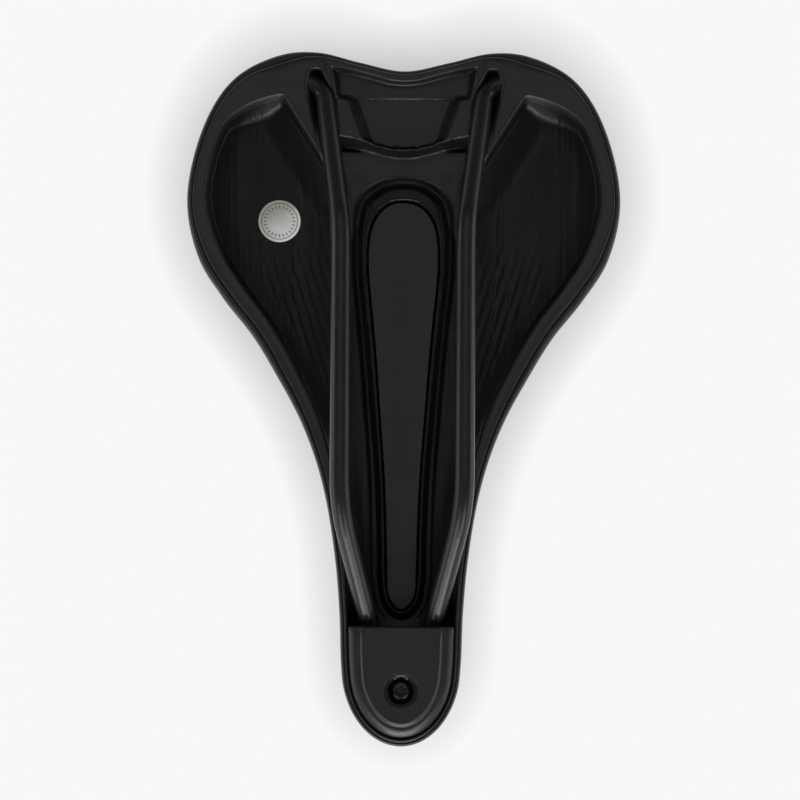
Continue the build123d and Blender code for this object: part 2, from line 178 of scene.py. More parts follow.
def cover_skin():
    """Coated cloth with a fine leather grain."""
    paint = Paint("cover_skin")
    cells = paint.node("ShaderNodeTexVoronoi", inputs={"Vector": paint.place(), "Scale": 900.0})
    tone = paint.noise(90, 3)
    colour = paint.mix(tone, (0.010, 0.010, 0.0105), (0.017, 0.017, 0.0175))
    return paint.finish(colour, 0.42 + tone * 0.1, paint.bump(cells, 0.00006), Specular_IOR_Level=0.45)


def lining():
    """The channel's dull lining, with a close raised grain."""
    paint = Paint("channel_lining")
    cells = paint.node("ShaderNodeTexVoronoi", inputs={"Vector": paint.place(), "Scale": 1100.0})
    tone = paint.noise(70, 3)
    colour = paint.mix(tone, (0.012, 0.012, 0.0125), (0.02, 0.02, 0.0205))
    return paint.finish(colour, 0.6, paint.bump(cells, 0.00008))


def foam():
    """Cut foam, dark and open."""
    paint = Paint("foam")
    tone = paint.noise(400, 4)
    colour = paint.mix(tone, (0.03, 0.03, 0.03), (0.06, 0.06, 0.06))
    return paint.finish(colour, 0.95, paint.bump(paint.noise(1500, 3), 0.0002))


def steel():
    """Blackened steel, a little worn."""
    paint = Paint("screw_steel")
    tone = paint.noise(500, 3)
    colour = paint.mix(tone, (0.030, 0.028, 0.025), (0.062, 0.057, 0.051))
    return paint.finish(colour, 0.24 + tone * 0.2, paint.bump(paint.noise(2500, 2), 0.00001), Metallic=1.0)


def foil():
    """Silver label foil, with a printed ring of plain tick marks and a painted sheen across it."""
    paint = Paint("label_foil")
    x, y, _ = paint.xyz()
    across, back = (y - label_y * MM) * 1000, (x - label_x * MM) * 1000
    from_middle = (across * across + back * back) ** 0.5
    turn = back.math("ARCTAN2", across)
    tick = (turn * label_ticks).math("COSINE").smooth(0.55, 0.8)
    tick = tick * from_middle.smooth(4.6, 4.7) * (1 - from_middle.smooth(5.6, 5.7))
    ring = from_middle.smooth(6.25, 6.33) * (1 - from_middle.smooth(6.5, 6.58))
    print_on = tick.math("MAXIMUM", ring)
    # Painted sheen: noise and a slope across the label make one side of the foil's colour brighter, standing
    # in for a reflection.
    sheen = (paint.noise(95, 2, (1, 0.5, 1)) * 0.6 + (back * 0.055 - across * 0.03)).smooth(0.05, 0.75)
    silver_with_painted_sheen = paint.mix(sheen, (0.44, 0.44, 0.40), (0.90, 0.91, 0.88))
    colour = paint.mix(print_on * 0.8, silver_with_painted_sheen, (0.07, 0.07, 0.065))
    return paint.finish(colour, 0.30 + print_on * 0.3, paint.bump(paint.noise(160, 2), 0.00008), Metallic=0.9)


def dress(node, material):
    """Gives a CAD part its material."""
    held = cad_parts[node]
    held.data.materials.clear()
    held.data.materials.append(material)


dress("rail", black_paint())
dress("channel_insert", lining())
dress("label", foil())


# ---- The saddle's own lines, in millimetres ---------------------------------------------------
hub_x, nose_x = -58.0, 108.0
nose_half_width, nose_length = 21.3, 29.0
tail = [(-103.7, 0), (-106.8, 16), (-110.3, 31), (-109.4, 44), (-101.4, 60), (-86.3, 70.5)]
wing = [(hub_x, 77.3), (-36.4, 73.1), (-22.2, 64.4), (-8.0, 53.2), (6.3, 44.5)]
waist = [(20.5, 36.8), (34.7, 31.1), (49.0, 27.2), (70.3, 23.7)]
groove_widths = [(-57.0, 6), (-55.5, 6.8), (-51.3, 10.4), (-44.0, 13.3), (-33.0, 14.2), (-11.0, 12.2),
                 (29.0, 9.2), (69.0, 7.3), (82.0, 6.5), (89.0, 5)]
groove_rear_x, groove_length, groove_depth = -57.0, 146.0, 4.4
shoulder_x, crown_bend = 90.0, 0.0007
pad_depth, shell_wall, rim_depth = 13.5, 2.6, 3.0
slot = [(-57.2, 0), (-56.1, 5.2), (-52.8, 9.2), (-46.5, 12.0), (-34.0, 13.0), (-18.0, 11.6), (0.0, 9.9),
        (20.0, 8.4), (42.0, 6.8), (64.0, 6.0), (79.0, 5.6), (86.4, 3.8), (89.0, 0)]
outline_count = 720


def through(points):
    """A smooth function through (position, value) points, level at both ends, for numbers or arrays."""
    places = np.array([p[0] for p in points], dtype=float)
    values = np.array([p[1] for p in points], dtype=float)
    slopes = np.zeros(len(points))
    slopes[1:-1] = (values[2:] - values[:-2]) / (places[2:] - places[:-2])

    def value(place):
        at = np.clip(place, places[0], places[-1])
        i = np.clip(np.searchsorted(places, at, side="right") - 1, 0, len(places) - 2)
        span = places[i + 1] - places[i]
        t = (at - places[i]) / span
        lead = t * (1 - t) ** 2 * slopes[i] * span
        trail = t * t * (1 - t) * slopes[i + 1] * span
        return values[i] + (values[i + 1] - values[i]) * t * t * (3 - 2 * t) + lead - trail

    return value


def bearing(x, y):
    """Direction seen from the hub, in degrees: 0 straight back, 90 sideways, 180 to the nose."""
    return np.degrees(np.arctan2(np.abs(y), hub_x - x))


crown = through([(-116, 60), (-85, 57.5), (-58, 54.5), (0, 49.0), (60, 46.0), (108, 45.0), (144, 44.0)])
rim = through([(-116, 32.5), (-100, 30.6), (-80, 28.6), (-58, 27), (0, 25), (60, 21), (100, 18.5), (144, 18)])
lift = through([(-116, 3.0), (-102, 3.0), (-82, 0.8), (-72, 0.8), (144, 0.8)])
shell_inset = through([(0, 1.4), (31, 1.5), (41, 3.0), (54, 2.2), (90, 1.9), (107, 2.8), (133, 2.8),
                       (155, 2.2), (166, 1.6), (173, 1.4), (180, 1.4)])
rim_inset = through([(60, 6.4), (75, 6.6), (90, 7.1), (106, 8.6), (120, 8.4), (133, 7.8), (145, 7.2),
                     (155, 6.2), (161.5, 4.8), (166, 3.9), (170, 3.1), (173, 2.5), (180, 2.8)])
half_width = through(wing + waist + [(nose_x, nose_half_width)])
tail_reach = through([(float(bearing(x, y)), np.hypot(x - hub_x, y)) for x, y in tail + wing[:1]])
groove_width = through(groove_widths)


def smooth_loop(points, count):
    """Evenly spaced points on the closed smooth curve through half outline points and their mirror images."""
    ring = points + [(x, -y) for x, y in reversed(points[1:-1])]
    fine = []
    for k in range(len(ring)):
        p0, p1, p2, p3 = [Vector(ring[(k + j) % len(ring)]) for j in (-1, 0, 1, 2)]
        k1, k2, k3 = [(b - a).length ** 0.5 for a, b in ((p0, p1), (p1, p2), (p2, p3))]
        m1 = ((p1 - p0) / k1 - (p2 - p0) / (k1 + k2) + (p2 - p1) / k2) * k2
        m2 = ((p2 - p1) / k2 - (p3 - p1) / (k2 + k3) + (p3 - p2) / k3) * k2
        for j in range(24):
            t = j / 24
            h = (2 * t ** 3 - 3 * t * t + 1, t ** 3 - 2 * t * t + t, 3 * t * t - 2 * t ** 3, t ** 3 - t * t)
            fine.append(p1 * h[0] + m1 * h[1] + p2 * h[2] + m2 * h[3])
    fine = np.array([tuple(p) for p in fine + fine[:1]])
    lengths = np.concatenate([[0], np.cumsum(np.hypot(*np.diff(fine, axis=0).T))])
    at = lengths[-1] * np.arange(count) / count
    return np.stack([np.interp(at, lengths, fine[:, n]) for n in (0, 1)], axis=1)


def outline_points():
    """One side of the outline, from the middle of the tail to the tip of the nose."""
    nose = []
    for turn in (18, 36, 54, 72, 90):
        nose.append((nose_x + nose_length * sin(radians(turn)), nose_half_width * cos(radians(turn))))
    shoulder = [(shoulder_x, float(half_width(shoulder_x))), (nose_x, nose_half_width)]
    return tail + wing + waist + shoulder + nose


outline = smooth_loop(outline_points(), outline_count)
along = np.roll(outline, -1, axis=0) - np.roll(outline, 1, axis=0)
inward = np.stack([along[:, 1], -along[:, 0]], axis=1) / np.hypot(*along.T)[:, None]
outline_bearing = bearing(*outline.T)


def moved_in(distance):
    """The outline, moved in by a distance that is a number or one number per point."""
    return outline + inward * (np.zeros(outline_count) + distance)[:, None]


def rings_of(edge, shares, rear=hub_x, front=nose_x):
    """x and y of rings that shrink from an edge loop onto a stretch of the centre line."""
    middle = np.stack([np.clip(edge[:, 0], rear, front), np.zeros(len(edge))], axis=1)
    rings = np.array([middle + (edge - middle) * share for share in shares])
    return rings[..., 0], rings[..., 1]


def reach(x, y, inset):
    """Share of the way from the centre line to the edge, and how far that edge is."""
    tail_edge = tail_reach(bearing(x, y)) - inset
    side_edge = half_width(np.minimum(x, nose_x)) - inset
    ahead = np.maximum(0.0, x - nose_x) / (nose_length - inset)
    share = np.where(x < hub_x, np.hypot(x - hub_x, y) / tail_edge, np.hypot(y / side_edge, ahead))
    return share, np.where(x < hub_x, tail_edge, side_edge)


def dome(x, y, top, base, roll, inset):
    """A crowned surface that rolls over at its edge, by one power at the nose and another at the wings."""
    share, edge = reach(x, y, inset)
    fullness = np.clip((edge - nose_half_width) / (wing[0][1] - nose_half_width), 0, 1)
    power = roll[0] + (roll[1] - roll[0]) * fullness
    fall = np.where(share < 1, 1 - np.minimum(share, 1) ** power, 0.0)
    return base + (top - crown_bend * y * y - base) * fall


def relief(x, y):
    """Depth of the long hollow in the top."""
    along_it = (x - groove_rear_x) / groove_length
    full = np.sqrt(np.clip(1 - np.abs(2 * along_it - 1) ** 4, 0, 1))
    across = np.abs(y) / ((groove_width(x) + 1.5) * np.maximum(full, 0.3))
    return groove_depth * full * np.clip(1 - across ** 2.4, 0, 1) ** 1.3


def cover_top(x, y):
    """Height of the cover's outside."""
    return dome(x, y, crown(x), rim(x) + 6.0, (3.0, 6.0), 0.0) - relief(x, y)


def shell_top(x, y):
    """Height of the shell's upper face."""
    return dome(x, y, crown(x) - pad_depth, rim(x) + rim_depth, (3.6, 15.0), shell_inset(bearing(x, y)))


# ---- Tools for moulded surfaces ---------------------------------------------------------------------
def step(low, high, value):
    """0 below low, 1 above high, and a soft rise between."""
    t = np.clip((value - low) / (high - low), 0, 1)
    return t * t * (3 - 2 * t)


def lower_of(a, b, soft):
    """The smaller of two heights, with a rounded corner where they meet."""
    h = np.clip(0.5 + 0.5 * (b - a) / soft, 0, 1)
    return b + (a - b) * h - soft * h * (1 - h)


def distance_to(x, y, line):
    """Distance from each place to an open line of points."""
    best = np.full(np.shape(x), 1e9)
    for (ax, ay), (bx, by) in zip(line, line[1:]):
        run_x, run_y = bx - ax, by - ay
        t = np.clip(((x - ax) * run_x + (y - ay) * run_y) / (run_x ** 2 + run_y ** 2), 0, 1)
        best = np.minimum(best, np.hypot(x - ax - t * run_x, y - ay - t * run_y))
    return best


def within(x, y, line):
    """True inside the shape that a line of points closes."""
    inside = np.zeros(np.shape(x), dtype=bool)
    for (ax, ay), (bx, by) in zip(line, line[1:] + line[:1]):
        if ay != by:
            inside ^= ((ay > y) != (by > y)) & (x < (bx - ax) * (y - ay) / (by - ay) + ax)
    return inside


def mesh_piece(name, points, faces, material, stands_for):
    """A smooth mesh that rides on the saddle's one body and stands in for a CAD part."""
    mesh = bpy.data.meshes.new(name)
    mesh.from_pydata([(x * MM, y * MM, z * MM) for x, y, z in points], [], faces)
    work = bmesh.new()
    work.from_mesh(mesh)
    bmesh.ops.remove_doubles(work, verts=work.verts, dist=0.012 * MM)
    bmesh.ops.recalc_face_normals(work, faces=work.faces)
    work.to_mesh(mesh)
    work.free()
    mesh.materials.append(material)
    for face in mesh.polygons:
        face.use_smooth = True
    piece = bpy.data.objects.new(name, mesh)
    bpy.context.scene.collection.objects.link(piece)
    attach(piece, "root")
    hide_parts(stands_for)
    return piece


def rounded(distance, radius):
    """How far a rounded edge falls away at this distance from it."""
    short_by = np.maximum(radius - distance, 0)
    return radius - np.sqrt(np.maximum(radius ** 2 - short_by ** 2, 0))


def per_face(piece, value):
    """The x, y and z of each face's centre or normal."""
    numbers = np.empty(3 * len(piece.data.polygons))
    piece.data.polygons.foreach_get(value, numbers)
    return numbers.reshape(-1, 3).T


def second_finish(piece, material, chosen):
    """Gives the chosen faces another material."""
    piece.data.materials.append(material)
    piece.data.polygons.foreach_set("material_index", chosen.astype(np.int32))


def rings_to_mesh(x, y, z):
    """Points and faces of closed rings of equal length, each joined to the next."""
    rings, count = x.shape
    points = np.stack([x, y, z], axis=-1).reshape(-1, 3).tolist()
    faces = []
    for r in range(rings - 1):
        for k in range(count):
            j = (k + 1) % count
            faces.append((r * count + k, r * count + j, (r + 1) * count + j, (r + 1) * count + k))
    return points, faces


# ---- Cover and pad --------------------------------------------------------------------------------
cover_edge = [(1.06, 1.4), (0.99, 0.95), (0.85, 0.65), (0.6, 0.5), (0.3, 0.9), (0.12, 1.7), (0.03, 2.7),
              (0.0, 3.8), (0.0, 4.8), (0.02, 5.7)]
cover_side = 6.0
skin = 0.8
pad_gap = 0.3


def make_cover():
    """The skin: tucked against the shell, bulged over its edge, and crowned across the top."""
    inset = shell_inset(outline_bearing)
    hem = [moved_in(depth * inset) for depth, height in cover_edge]
    hem_x, hem_y = np.array([ring[:, 0] for ring in hem]), np.array([ring[:, 1] for ring in hem])
    heights = np.array([height for depth, height in cover_edge])[:, None] / cover_side
    low = lift(hem_x) - skin
    hem_z = rim(hem_x) + low + heights * (cover_side - low)
    shares = 1 - np.linspace(0.03, 1, 64) ** 1.7
    top_x, top_y = rings_of(outline, shares)
    points, faces = rings_to_mesh(np.vstack([hem_x, top_x]), np.vstack([hem_y, top_y]),
                                  np.vstack([hem_z, cover_top(top_x, top_y)]))
    piece = mesh_piece("cover_skin", points, faces, cover_skin(), "cover")
    thick = piece.modifiers.new("thickness", "SOLIDIFY")
    thick.thickness, thick.offset = skin * MM, -1


def make_pad():
    """The foam between the shell and the skin."""
    x, y = rings_of(outline[::2], [0.0] + [0.12 * n for n in range(1, 8)] + [0.93, 0.965])
    under = shell_top(x, y) + pad_gap
    over = np.maximum(cover_top(x, y) - skin - pad_gap, under + pad_gap)
    points, faces = rings_to_mesh(np.vstack([x, x[::-1]]), np.vstack([y, y[::-1]]),
                                  np.vstack([under, over[::-1]]))
    pad = mesh_piece("foam_pad", points, faces, foam(), "padding")


# ---- The moulded shell, seen from below --------------------------------------------------------------
wing_apex, wing_shoulder = (-94.7, 43.8), (-90.6, 56.0)
spur_tip, spur_root = (-71.0, 28.6), (-99.0, 34.6)
pocket_end, pocket_heel, pocket_side = (-104.0, 33.2), (-104.4, 30.2), (-94.0, 25.2)
bridge_foot = (-80.5, 24.0)
bridge_rear_x, bridge_front_x = -94.0, -75.6
bridge_lift, tray_depth = 1.5, 3.2
tray_rear_x, tray_length = -93.1, 14.9
tray_rear_half, tray_front_half = 20.0, 14.6
wall_round, wall_height = 0.8, 14.2
facet_drop, facet_edge, facet_slope = 4.2, 0.35, 0.54
ring_height, ring_width, ring_tip_growth, ring_tip_length = 3.2, 1.3, 3.5, 23.4
ring_groove, rear_fill, front_fill = 1.5, 1.9, 1.1
land_height, front_floor_step = 1.8, 0.12
corner_slope, corner_width = 0.13, 8.5
channel_wall, least_wall = 0.5, 0.4
dial_x, dial_y, dial_radius, dial_depth = -65.6, 16.2, 3.0, 0.3
mark_pitch, mark_height, mark_lean = 3.2, 0.15, 0.31
edge_run = through([(0, 1.0), (20, 1.2), (31, 2.7), (43, 2.7), (56, 1.2), (100, 1.2), (112, 3.0), (140, 3.4),
                    (165, 2.0), (180, 1.8)])
edge_rise = through([(0, 0.5), (31, 0.7), (56, 0.6), (100, 0.6), (112, 1.0), (140, 1.1), (165, 0.8),
                     (180, 0.8)])
wall_run = through([(40, 2.3), (58, 2.2), (72, 0.8), (90, 0.45), (120, 0.45), (148, 0.5), (164, 0.25),
                    (170, 0.12), (180, 0.12)])
land_width = through([(-74.4, 24.0), (-61.0, 21.0), (-44.0, 18.5), (-29.0, 15.0), (-13.0, 12.2), (7.0, 9.8)])
channel_line = [tuple(p) for p in smooth_loop(slot, 240)[:121]]


def cavity_lines():
    """The open underside's edge on one side: its outer wall, and its steep inner walls."""
    edge = moved_in(rim_inset(outline_bearing))
    outer = [tuple(p) for p, b in zip(edge, outline_bearing) if p[1] > 0 and b > 68.0]
    outer.sort(key=lambda p: float(bearing(*p)))
    outer.append((float(edge[:, 0].max()), 0.0))
    (ax, ay), (mx, my), (bx, by) = wing_apex, wing_shoulder, outer[0]
    corner = []
    for k in range(13):
        t = k / 13
        a, m, b = (1 - t) * (1 - 2 * t), 4 * t * (1 - t), t * (2 * t - 1)
        corner.append((a * ax + m * mx + b * bx, a * ay + m * my + b * by))
    bow = [(-79.6, 17.5), (-78.1, 12.0), (-76.6, 7.0), (-75.8, 3.0), (bridge_front_x, 0.0)]
    inner = [spur_tip, spur_root, pocket_end, pocket_heel, pocket_side, bridge_foot] + bow
    return corner + outer[::3] + outer[-1:], inner


def tray_and_bridge(x, v):
    """How far the bridge's lower face stands back from the rim, with its tray."""
    forward = (x - tray_rear_x) / tray_length
    into = tray_rear_half + (tray_front_half - tray_rear_half) * forward - v
    return bridge_lift + tray_depth * np.clip(into / tray_depth, 0, 1) * step(-0.2, 0.5, into)


def trough(x, v):
    """How far the hollow behind the bridge stands back from the rim, and the distance to it from outside."""
    lip = [(-99.5, 0.0), (-99.9, 5.0), (-101.9, 12.0), (-103.6, 18.5), (-104.9, 25.6), (bridge_rear_x, 23.8)]
    inside = within(x, v, lip + [(bridge_rear_x, 0.0)])
    to_lip = distance_to(x, v, lip)
    t = (x + 98.0) / 4.5
    roof = np.maximum(4.5 - 0.45 * t - 0.25 * t * t, 2.2)
    hollow = np.where(inside, lower_of(wall_round + 5 * to_lip, roof, 1.2), 0.0)
    return hollow, np.where(inside, 0.0, to_lip)


def floor_marks(x, v, wall):
    """Fine drawn lines and slanting steps that the mould's cutter left on the wing floors."""
    lines = 0.016 * np.sin(2.9 * v + 0.7 * np.sin(0.5 * v)) * np.sin(1.13 * v + 2) + 0.012 * np.sin(5.3 * v)
    lines = lines * step(27, 31, v) * step(7, 10, wall) * (1 - step(-40, -20, x))
    turn = 2 * pi * (v + mark_lean * (x + 36.0)) / mark_pitch
    steps = mark_height * (np.sin(turn) + 0.35 * np.sin(2 * turn + 0.6))
    steps = steps * step(-48, -28, x) * (1 - step(6, 16, x))
    return lines + steps * step(5, 8, wall) * step(25.0, 27.5, v) * (1 - step(46, 52, v))


def spur_facet(x, v):
    """Height of the sloping face beside the spur, on the wing's side of the spur's edge."""
    (ax, ay), (bx, by) = wing_apex, spur_tip
    length = np.hypot(bx - ax, by - ay)
    run_x, run_y = (bx - ax) / length, (by - ay) / length
    aside = run_x * (v - ay) - run_y * (x - ax)
    ahead = run_x * (x - ax) + run_y * (v - ay)
    past_tip = np.maximum(0, 27.5 - v) * (ahead > 0)
    beside = np.hypot(np.maximum(aside, 0), np.maximum(-ahead, 0)) + 2.5 * past_tip
    face = wall_round + facet_drop * (1 - np.exp(-beside / facet_edge)) + facet_slope * beside
    return np.where(aside > 0, face, 99.0)


def ring_edge(x):
    """How far the channel's raised ring reaches out from the channel: most at its rear tip."""
    near_tip = np.clip(1 - (x - slot[0][0]) / ring_tip_length, 0, 1)
    return ring_width + ring_tip_growth * near_tip ** 2


def channel_surround(x, v, to_channel):
    """Steps in the floor round the channel: the raised ring, the groove outside it, and the land."""
    past_ring = to_channel - ring_edge(x)
    land = land_height * step(-0.3, 0.9, land_width(x) - v) * step(-76.5, -75.0, x) * (1 - step(-4, 9, x))
    at_rear = (1 - step(3, 12, v)) * (1 - step(-60, -52, x))
    groove = ring_groove - rear_fill * at_rear - front_fill * step(25, 65, x)
    rise = (ring_height + groove) * step(-0.3, 1.6, past_ring)
    return rise - ring_height - (land + groove) * step(2.9, 3.9, past_ring)


def date_dial(x, v):
    """A shallow round dial on the land, with plain ticks and one hand."""
    across, back = v - dial_y, x - dial_x
    out, turn = np.hypot(across, back), np.arctan2(across, back)
    ticks = step(0.3, 0.7, np.cos(12 * turn)) * step(1.5, 1.8, out) * (1 - step(2.35, 2.6, out))
    hand = (1 - step(0.25, 0.5, np.abs(across + 0.3 * back))) * (1 - step(1.0, 1.3, out))
    return dial_depth * (1 - step(dial_radius - 0.2, dial_radius + 0.2, out)) - 0.42 * (ticks + hand)


def rim_and_bridge(x, v, turned, to_cavity):
    """How far the rim's face, the hollow behind the bridge and the bridge stand back from the rim line."""
    shell_edge = moved_in(shell_inset(outline_bearing))[:outline_count // 2 + 1]
    from_edge = distance_to(x, v, [tuple(p) for p in shell_edge])
    over_edge = np.clip(1 - from_edge / edge_run(turned), 0, 1)
    face = edge_rise(turned) * (1 - np.sqrt(np.maximum(1 - over_edge ** 2, 0)))
    at_tail_corner = step(29, 32, turned) * (1 - step(41, 54, turned))
    face = face + corner_slope * np.maximum(0, corner_width - from_edge) * at_tail_corner
    hollow, to_hollow = trough(x, v)
    face = face + rounded(np.minimum(to_cavity, to_hollow), wall_round)
    bridge = tray_and_bridge(x, v) + rounded(to_cavity, wall_round)
    on_bridge = step(bridge_rear_x - 0.25, bridge_rear_x + 0.25, x) * (v < 26) * (x < bridge_front_x + 1)
    return np.where(hollow > 0, hollow, face) * (1 - on_bridge) + bridge * on_bridge


def shell_underside(x, y):
    """Height of the shell's lower face: rim, walls, spurs, rail pockets, bridge, land and channel ring."""
    v = np.abs(y)
    turned = bearing(x, y)
    outer, inner = cavity_lines()
    to_outer, to_inner = distance_to(x, v, outer), distance_to(x, v, inner)
    to_channel = distance_to(x, v, channel_line) * np.where(within(x, v, channel_line), -1, 1)

    floor = shell_top(x, y) - shell_wall - rim(x)
    floor = floor + channel_surround(x, v, to_channel) + date_dial(x, v)
    floor = floor + floor_marks(x, v, to_outer) + front_floor_step * step(25, 26.6, x)
    wall = wall_round + wall_height * (1 - np.exp(-to_outer / (3.0 * wall_run(turned))))
    before_bridge = (1 - step(21, 25, v)) * step(-84, -81, x)
    steep = wall_round + (4.0 - 0.8 * before_bridge) * to_inner
    cavity = lower_of(lower_of(wall, spur_facet(x, v), 1.0), floor, 2.2)
    cavity = np.minimum(lower_of(steep, cavity, 0.8), lower_of(steep, floor, 0.4))

    inside = within(x, v, outer + inner[::-1])
    to_cavity = np.minimum(np.minimum(to_outer, to_inner), distance_to(x, v, [wing_apex, spur_tip]))
    height = rim(x) + np.where(inside, cavity, rim_and_bridge(x, v, turned, to_cavity))
    in_channel = 1 - step(-0.45, 0.15, to_channel)
    return height + (shell_top(x, y) - channel_wall - height) * in_channel


def make_shell():
    """The moulded base, satin outside and polished in its hollows, where a darker colour paints shade."""
    edge = moved_in(shell_inset(outline_bearing))
    shares = 1 - np.linspace(0, 1, 121) ** 1.2
    x, y = rings_of(edge, shares, slot[0][0] + 8.0, slot[-1][0] - 6.0)
    under = np.minimum(shell_underside(x, y), shell_top(x, y) - least_wall)
    for _ in range(2):
        round_it = (np.roll(under, 1, axis=1) + np.roll(under, -1, axis=1)) / 2
        across = under.copy()
        across[1:-1] = (under[2:] + under[:-2]) / 2
        under = 0.4 * under + 0.3 * round_it + 0.3 * across
    over_x, over_y = rings_of(edge, [1.0] + [0.98 - 0.07 * n for n in range(14)] + [0.0])
    points, faces = rings_to_mesh(np.vstack([x[::-1], over_x]), np.vstack([y[::-1], over_y]),
                                  np.vstack([under[::-1], shell_top(over_x, over_y)]))
    piece = mesh_piece("moulded_shell", points, faces, satin_plastic(), "shell")

    px, py, pz = per_face(piece, "center") / MM
    v = np.abs(py)
    # Faces in the hollows, round the channel and on the bridge's sloping faces get the darker finish: painted
    # shade.
    hollow = (pz < shell_top(px, py) - 0.3) & (pz > rim(px) + 3.4) & (px > wing_apex[0] - 12)
    by_ring = distance_to(px, v, channel_line) < ring_edge(px) + 0.7 + 5.0 * step(-54, -38, px)
    hollow &= (px > -36) | (v > 26) | by_ring
    on_bridge = (px < bridge_front_x + 5) & (px > bridge_rear_x + 0.6) & (v < 23.4)
    sloping = per_face(piece, "normal")[2] > -0.93
    second_finish(piece, polished_and_shaded_plastic(), hollow | (on_bridge & sloping))


# ---- The nose cap and its screw ----------------------------------------------------------------------
screw_x = 117.0
head_radius, head_flat_radius, head_fall, shank_radius = 3.65, 1.9, 0.95, 1.95
socket_radius, socket_lobe, socket_depth = 1.72, 0.24, 1.3
head_seat_z, head_face_z, shank_end_z = 19.2, 16.8, 27.5
cap_mouth_x, cap_face_z = 94.2, 15.6
cap_edge_gap, cap_lip_radius = 0.15, 1.1
cap_back_height, cap_edge_height = 4.76, 6.6

# Each step down to the screw: its depth, and the two radii that it falls between
screw_steps = [(0.35, 5.9, 6.25), (1.0, 4.45, 4.8), (1.9, 4.25, 4.5)]
cap_profile = through([(0, 3.6), (0.4, 2.95), (1.0, 2.35), (1.7, 1.82), (2.4, 1.4), (3.1, 1.12), (3.8, 1.05),
                       (4.3, 0.9), (4.8, 0.45), (5.2, 0.1), (6.2, 0)])


def make_nose_cap():
    """The cap over the rod's bend: a flat face with a bead round it and a well for the screw."""
    edge = moved_in(rim_inset(outline_bearing) + cap_edge_gap)
    side = sorted([tuple(p) for p in edge if p[0] > cap_mouth_x + 1.4 and p[1] > 0])
    half = side[0][1]
    mouth = [(cap_mouth_x, half * k / 16) for k in range(15)]
    mouth += [(cap_mouth_x, half - 1.3), (cap_mouth_x + 0.35, half - 0.4)]
    side = side + [(float(edge[:, 0].max()), 0.0)]
    left = mouth + side
    loop = np.array(left + [(px, -py) for px, py in reversed(left[1:-1])])
    middle = (104.0, 114.0)
    x, y = rings_of(loop, 1 - np.linspace(0, 1, 71) ** 1.15, *middle)
    r = np.hypot(x - screw_x, y)
    well = sum(depth * (1 - step(low, high, r)) for depth, low, high in screw_steps)
    face = cap_profile(distance_to(x, np.abs(y), side)) + rounded(x - cap_mouth_x, cap_lip_radius)
    z = cap_face_z + face + well
    back_x, back_y = rings_of(loop, [1.0, 0.94, 0.85, 0.7, 0.5, 0.3, 0.15, 0.0], *middle)
    back_z = np.full(back_x.shape, cap_face_z + cap_back_height)
    back_z[0] = cap_face_z + cap_edge_height
    points, faces = rings_to_mesh(np.vstack([x[::-1], back_x]), np.vstack([y[::-1], back_y]),
                                  np.vstack([z[::-1], back_z]))
    piece = mesh_piece("nose_cap", points, faces, satin_plastic(), "nose_cover")
    px, py = per_face(piece, "center")[:2] / MM
    # The screw's well gets the darker polished finish: painted shade in the recess.
    second_finish(piece, polished_and_shaded_plastic(), np.hypot(px - screw_x, py) < screw_steps[0][1])


def make_screw():
    """A pan-head screw with a six-lobed socket."""
    turns = np.arange(96) * 2 * pi / 96
    head = [head_radius - 0.09 * n for n in range(12)]
    head += [2.4, 2.2, 2.05, 1.95, 1.85, 1.75, 1.62, 1.5, 1.3, 1.0, 0.5, 0.0]
    radii = np.array(head)[:, None] + 0 * turns
    lobe = socket_radius + socket_lobe * np.cos(6 * turns)
    out = np.clip((radii - head_flat_radius) / (head_radius - head_flat_radius), 0, 1)
    socket = socket_depth * (1 - step(lobe - 0.12, lobe + 0.06, radii))
    z = head_face_z + head_fall * out ** 2.6 + socket
    side = np.array([head_radius, shank_radius, shank_radius, 0.0])[:, None] + 0 * turns
    side_z = np.array([head_seat_z, head_seat_z, shank_end_z, shank_end_z + 1.0])[:, None] + 0 * turns
    radii, z = np.vstack([radii[::-1], side]), np.vstack([z[::-1], side_z])
    points, faces = rings_to_mesh(screw_x + radii * np.cos(turns), radii * np.sin(turns), z)
    mesh_piece("nose_cap_screw", points, faces, steel(), "nose_screw")


make_shell()
make_nose_cap()
make_screw()
make_cover()
make_pad()


# ---- Camera ------------------------------------------------------------------------------------------
def make_camera():
    """Straight below the saddle and looking up at its underside, tail uppermost."""
    data = bpy.data.cameras.new("camera")
    eye = bpy.data.objects.new("camera", data)
    bpy.context.scene.collection.objects.link(eye)
    distance = 2.0
    view_mm = 284.7
    lean = 0.35
    data.sensor_width = 36.0
    data.lens = data.sensor_width * distance * 1000 / view_mm
    data.clip_end = 20
    centre = Vector((0.0139, 0.0009, 0.025))
    right, up, back = Vector((0, -1, 0)), Vector((-1, 0, 0)), Vector((0, 0, -1))
    turn = Matrix((right, up, back)).transposed().to_4x4()
    roll = Matrix.Rotation(radians(lean), 4, "Z")
    eye.matrix_world = Matrix.Translation(centre + back * distance) @ turn @ roll
    bpy.context.scene.camera = eye


# ---- Stage: the table the saddle lies on, and a floor under its rails -------------------------------------
pale, sky_glow = 0.94, 0.096
table_gap, floor_gap = 0.5, 0.2


def one_sided(name, white, reach_of_shadow, depth_of_shadow):
    """A pale sheet that only its front shows, with the soft shadow of what lies near it."""
    paint = Paint(name)
    open_sky = paint.node("ShaderNodeAmbientOcclusion", {"samples": 12}, {"Distance": reach_of_shadow},
                          output="AO")
    shade = open_sky * depth_of_shadow + (1 - depth_of_shadow)
    colour = paint.mix(shade, (0, 0, 0), (white, white, white))
    light = paint.node("ShaderNodeEmission", inputs={"Color": colour, "Strength": 1.0})
    clear = paint.node("ShaderNodeBsdfTransparent")
    back = paint.node("ShaderNodeNewGeometry", output="Backfacing")
    paint.output(paint.node("ShaderNodeMixShader", inputs={0: back, 1: light, 2: clear}))
    return paint.material


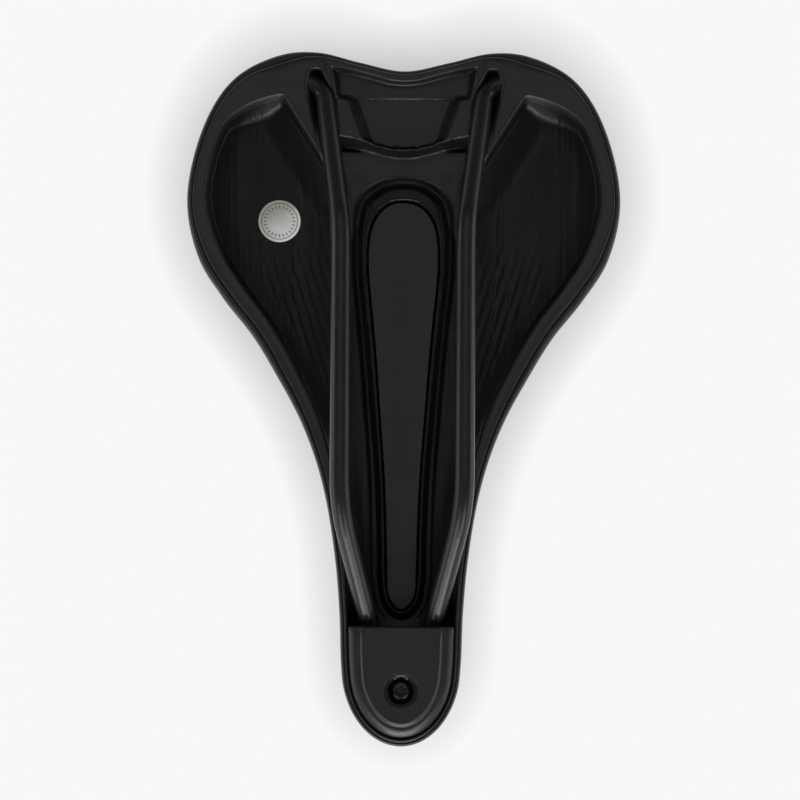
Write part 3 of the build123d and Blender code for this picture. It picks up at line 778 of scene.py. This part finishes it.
def sheet_of(name, height, corner_order, material):
    """A wide level sheet that casts no shadow. The order of its corners says which way it faces."""
    half = 30.0
    corners = [(-half, -half, height), (half, -half, height), (half, half, height), (-half, half, height)]
    mesh = bpy.data.meshes.new(name)
    mesh.from_pydata(corners, [], [corner_order])
    mesh.materials.append(material)
    plane = bpy.data.objects.new(name, mesh)
    bpy.context.scene.collection.objects.link(plane)
    plane.visible_shadow = plane.visible_diffuse = False
    return plane


def make_stage():
    """The table faces down, over the saddle's top, and the floor faces up, under its rails."""
    lowest, highest = cad_box[0][2], cad_box[1][2]
    table_white = one_sided("table_white", pale, 0.028, 0.8)
    floor_white = one_sided("floor_white", pale, 0.06, 0.7)
    sheet_of("table", highest + table_gap * MM, (3, 2, 1, 0), table_white)
    floor = sheet_of("floor", lowest - floor_gap * MM, (0, 1, 2, 3), floor_white)
    floor.visible_glossy = floor.visible_transmission = False


# ---- Light --------------------------------------------------------------------------------------------
def lamp(name, place, target, size, power):
    """A flat rectangular lamp, turned to its target."""
    data = bpy.data.lights.new(name, "AREA")
    data.shape = "RECTANGLE"
    data.size, data.size_y = size
    data.energy = power
    light = bpy.data.objects.new(name, data)
    bpy.context.scene.collection.objects.link(light)
    light.location = place
    light.rotation_euler = (Vector(target) - Vector(place)).to_track_quat("-Z", "Y").to_euler()


def make_world():
    """A dim even sky, which the camera itself sees as pale as the table."""
    world = bpy.data.worlds.new("studio")
    bpy.context.scene.world = world
    world.use_nodes = True
    tree = world.node_tree
    tree.nodes.clear()
    path = tree.nodes.new("ShaderNodeLightPath")
    strength = tree.nodes.new("ShaderNodeMapRange")
    strength.inputs["To Min"].default_value = sky_glow
    strength.inputs["To Max"].default_value = pale
    tree.links.new(path.outputs["Is Camera Ray"], strength.inputs["Value"])
    sky = tree.nodes.new("ShaderNodeBackground")
    sky.inputs["Color"].default_value = (1, 1, 1, 1)
    tree.links.new(strength.outputs["Result"], sky.inputs["Strength"])
    out = tree.nodes.new("ShaderNodeOutputWorld")
    tree.links.new(sky.outputs[0], out.inputs["Surface"])


def make_lamps():
    """Lamps all round the underside, and two more for the seat side."""
    middle = (0, 0, 0.03)
    for side in (1, -1):
        word = "left" if side > 0 else "right"
        lamp(f"low_{word}", (0.1, side * 1.2, -0.14), middle, (1.6, 0.3), 4)
        lamp(f"front_{word}", (0.95, side * 0.6, -0.75), (0.05, 0, 0.03), (0.22, 0.5), 3)
    lamp("overhead", (-0.35, 0, -2.2), middle, (1.5, 0.7), 2.6)
    lamp("low_nose", (1.3, 0, -0.4), (0.1, 0, 0.03), (1.0, 0.3), 14)
    lamp("over_tail", (-1.35, 0, -1.75), (-0.1, 0, 0.03), (2.4, 0.4), 3.6)
    lamp("top", (-0.2, -0.5, 1.6), middle, (1.6, 1.2), 30)
    lamp("top_front", (1.5, 0.8, 0.9), middle, (1.0, 0.8), 16)


make_camera()
make_stage()
make_world()
make_lamps()
bpy.context.scene.view_settings.view_transform = "Standard"
